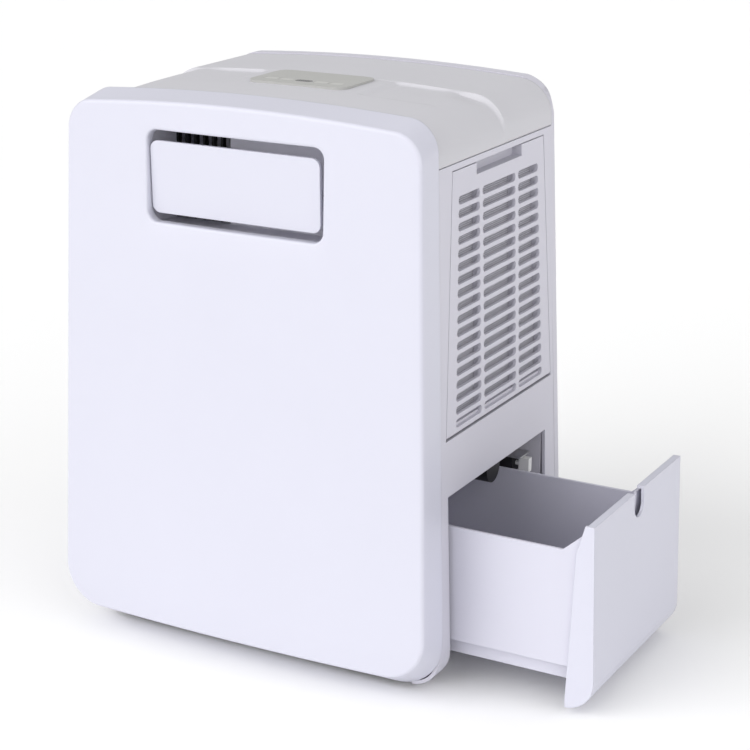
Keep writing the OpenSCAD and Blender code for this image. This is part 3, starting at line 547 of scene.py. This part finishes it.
def front_rings():
    """All rings of the front panel, from the outlet's lip round the wall and back."""
    rings = [face_ring(outlet_outline(0), LIP_DEPTH), face_ring(outlet_outline(0), LIP + 2 * MM)]
    rings += [face_ring(outlet_outline(LIP * (1 - c)), LIP * (1 - s)) for s, c in quarter_turn(5)]
    inner, outer = outlet_outline(LIP), face_outline(EDGE)
    rings += [face_ring(between(inner, outer, i / 16), 0) for i in range(1, 17)]
    rings += [face_ring(face_outline(EDGE * (1 - s)), EDGE * (1 - c)) for s, c in list(quarter_turn(6))[1:]]
    rings += [rim_ring(i / 6, 0) for i in range(1, 7)]
    rings += [rim_ring(share, WALL) for share in (1, 0.5, 0)]
    rings += [face_ring(face_outline(WALL + 1 * MM), WALL), face_ring(outlet_outline(WALL), WALL)]
    rings.append(face_ring(outlet_outline(WALL), LIP_DEPTH))
    return rings


front_panel = shell("front_shell", front_rings(), "white_shell", "root")
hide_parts("front_panel")
print("front panel faces:", len(front_panel.data.polygons))

# %% [markdown]
# ## Top cover
# The cover is a grey lid with a slight crown in both directions and round shoulders. Behind the control
# panel it steps up to the height of the rear cover. A shallow scoop lies on each side of the panel, with a
# deeper grip at the right shoulder. It is a fine grid: across the lid it follows the section from seam to
# seam, and along the lid it runs from the front rim to the rear rim.

# %% Top cover
SEAM = case_top - 42 * MM
ACROSS_FLAT = 132
ACROSS_ROUND = 18
ALONG = 150
GAP = 0.5 * MM
SIDE_GAP = 0.2 * MM
REAR_RIM = 12 * MM
STEP_Y = 29 * MM
FRONT_CREST = case_top - 4.6 * MM
FRONT_SWELL = 3.4 * MM
FRONT_SHAPE = (3.4 * MM, 112 * MM, 34 * MM)
REAR_CREST = case_top - 0.7 * MM
REAR_SHAPE = (4.6 * MM, 126 * MM, 29 * MM)
panel_lo, panel_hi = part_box("control_panel")
panel_y = (panel_lo.y + panel_hi.y) / 2


def ease(value, start, end):
    """0 before start, 1 after end, and a smooth change between."""
    t = max(0.0, min(1.0, (value - start) / (end - start)))
    return t * t * (3 - 2 * t)


def section(middle, fall, shoulder_x, shoulder_r):
    """X and Z points of a lid section, from seam to seam: crest height, fall to the shoulders, shoulders."""
    knee = middle - fall
    low = knee - shoulder_r
    edge = half_width(SEAM) - SIDE_GAP
    right = [(edge, blend(SEAM, low, i / 5)) for i in range(5)]
    for i in range(ACROSS_ROUND):
        a = math.radians(90 * i / ACROSS_ROUND)
        right.append((blend(shoulder_x, edge, math.cos(a)), low + shoulder_r * math.sin(a)))
    flat = []
    for i in range(ACROSS_FLAT + 1):
        x = shoulder_x * (1 - 2 * i / ACROSS_FLAT)
        flat.append((x, middle - fall * (x / shoulder_x) ** 2))
    left = [(-x, z) for x, z in reversed(right)]
    return right + flat + left


def hump(value, rise_from, rise_to, fall_from, fall_to):
    """1 in the middle of a range and 0 outside it, with a smooth change at each end."""
    return ease(value, rise_from * MM, rise_to * MM) * (1 - ease(value, fall_from * MM, fall_to * MM))


def dip(x, y):
    """How far the lid is pressed down by its scoops and its grip, at a place beside the control panel."""
    hollow = 2.0 * MM * hump(abs(x), 58, 65, 90, 135)
    grip = 2.6 * MM * ease(y, 2 * MM, STEP_Y) * hump(x, 112, 122, 126, 146)
    return hump(y, -32, -27, 28, 30) * (hollow + grip)


def lid_grid():
    """Points and faces of the lid's outer skin."""
    points = []
    for j in range(ALONG + 1):
        share = j / ALONG
        swell = math.sin(math.pi * min(0.5, share * 1.1)) ** 0.6
        front_part = section(FRONT_CREST + FRONT_SWELL * swell, *FRONT_SHAPE)
        rear_part = section(REAR_CREST, *REAR_SHAPE)
        for (x0, z0), (x1, z1) in zip(front_part, rear_part):
            front = face_y + RIM_DEPTH + z0 * math.tan(FRONT_LEAN - RIM_TAPER) + GAP
            rear = rear_floor - z0 * math.tan(REAR_LEAN) - REAR_RIM - GAP
            y = blend(front, rear, share)
            back = ease(y - panel_y, STEP_Y - 0.8 * MM, STEP_Y + 1.6 * MM)
            x, z = blend(x0, x1, back), blend(z0, z1, back)
            points.append((case_x + x, y, z - dip(x, y - panel_y)))
    row = len(front_part)
    faces = [(j * row + i, (j + 1) * row + i, (j + 1) * row + i + 1, j * row + i + 1)
             for j in range(ALONG) for i in range(row - 1)]
    return points, faces


lid_points, lid_faces = lid_grid()
lid_mesh = bpy.data.meshes.new("lid")
lid_mesh.from_pydata(lid_points, [], lid_faces)
lid = dress("lid", lid_mesh, "top_grey", "root")
wall = lid.modifiers.new("wall", "SOLIDIFY")
wall.thickness = WALL
wall.offset = -1
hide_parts("top_cover")
print("lid faces:", len(lid_mesh.polygons))

# %% [markdown]
# ## Rear cover
# The rear cover wraps round the back in one moulding, with rounder shoulders than its simple outline. A
# copy of its mesh is cut finer near the upper corners, and points outside a larger round are drawn in to it.

# %% Rear cover
SHOULDER_ROUND = 36 * MM
shoulder_z = case_top - 3.2 * MM - SHOULDER_ROUND
shoulder_x = half_width(shoulder_z) - 0.4 * MM - SHOULDER_ROUND


def drawn_in(x, z):
    """A point of the rear cover's section, drawn in to the larger round at its upper corners."""
    dx, dz = abs(x) - shoulder_x, z - shoulder_z
    reach_out = math.hypot(dx, dz)
    if dx <= 0 or dz <= 0 or reach_out <= SHOULDER_ROUND:
        return x, z
    pull = SHOULDER_ROUND / reach_out
    return math.copysign(shoulder_x + dx * pull, x), shoulder_z + dz * pull


CUT_ABOVE = shoulder_z - 100 * MM
LONGEST = 12 * MM
rear_copy = bmesh.new()
rear_copy.from_mesh(nodes["rear_cover"].data)
bmesh.ops.remove_doubles(rear_copy, verts=rear_copy.verts, dist=1e-6)
long_edges = [edge for edge in rear_copy.edges
              if edge.calc_length() > LONGEST and min(v.co.z for v in edge.verts) > CUT_ABOVE]
bmesh.ops.subdivide_edges(rear_copy, edges=long_edges, cuts=7)
for vertex in rear_copy.verts:
    x, z = drawn_in(vertex.co.x - case_x, vertex.co.z)
    vertex.co.x, vertex.co.z = case_x + x, z
rear_mesh = bpy.data.meshes.new("rear_shell")
rear_copy.to_mesh(rear_mesh)
rear_copy.free()
rear_shell = dress("rear_shell", rear_mesh, "case_plastic", "root")
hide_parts("rear_cover")
print("rear cover faces:", len(rear_mesh.polygons))

# %% [markdown]
# ## Outlet flap
# The flap is a thin plate that sits a little to the left in its opening and turns on a rod. Its edges are
# rounded in the mesh itself, because they catch the light all round the opening.

# %% Outlet flap
FLAP_SHIFT = (-1.9 * MM, 0, 1.2 * MM)
flap_mesh = nodes["outlet_flap"].data.copy()
flap_mesh.transform(Matrix.Translation(FLAP_SHIFT))
flap = dress("flap", flap_mesh, "white_shell", "outlet_flap")
flap_round = flap.modifiers.new("round", "BEVEL")
flap_round.width = 0.7 * MM
flap_round.segments = 3
flap_round.limit_method = "ANGLE"
flap_round.angle_limit = math.radians(50)
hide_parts("outlet_flap")
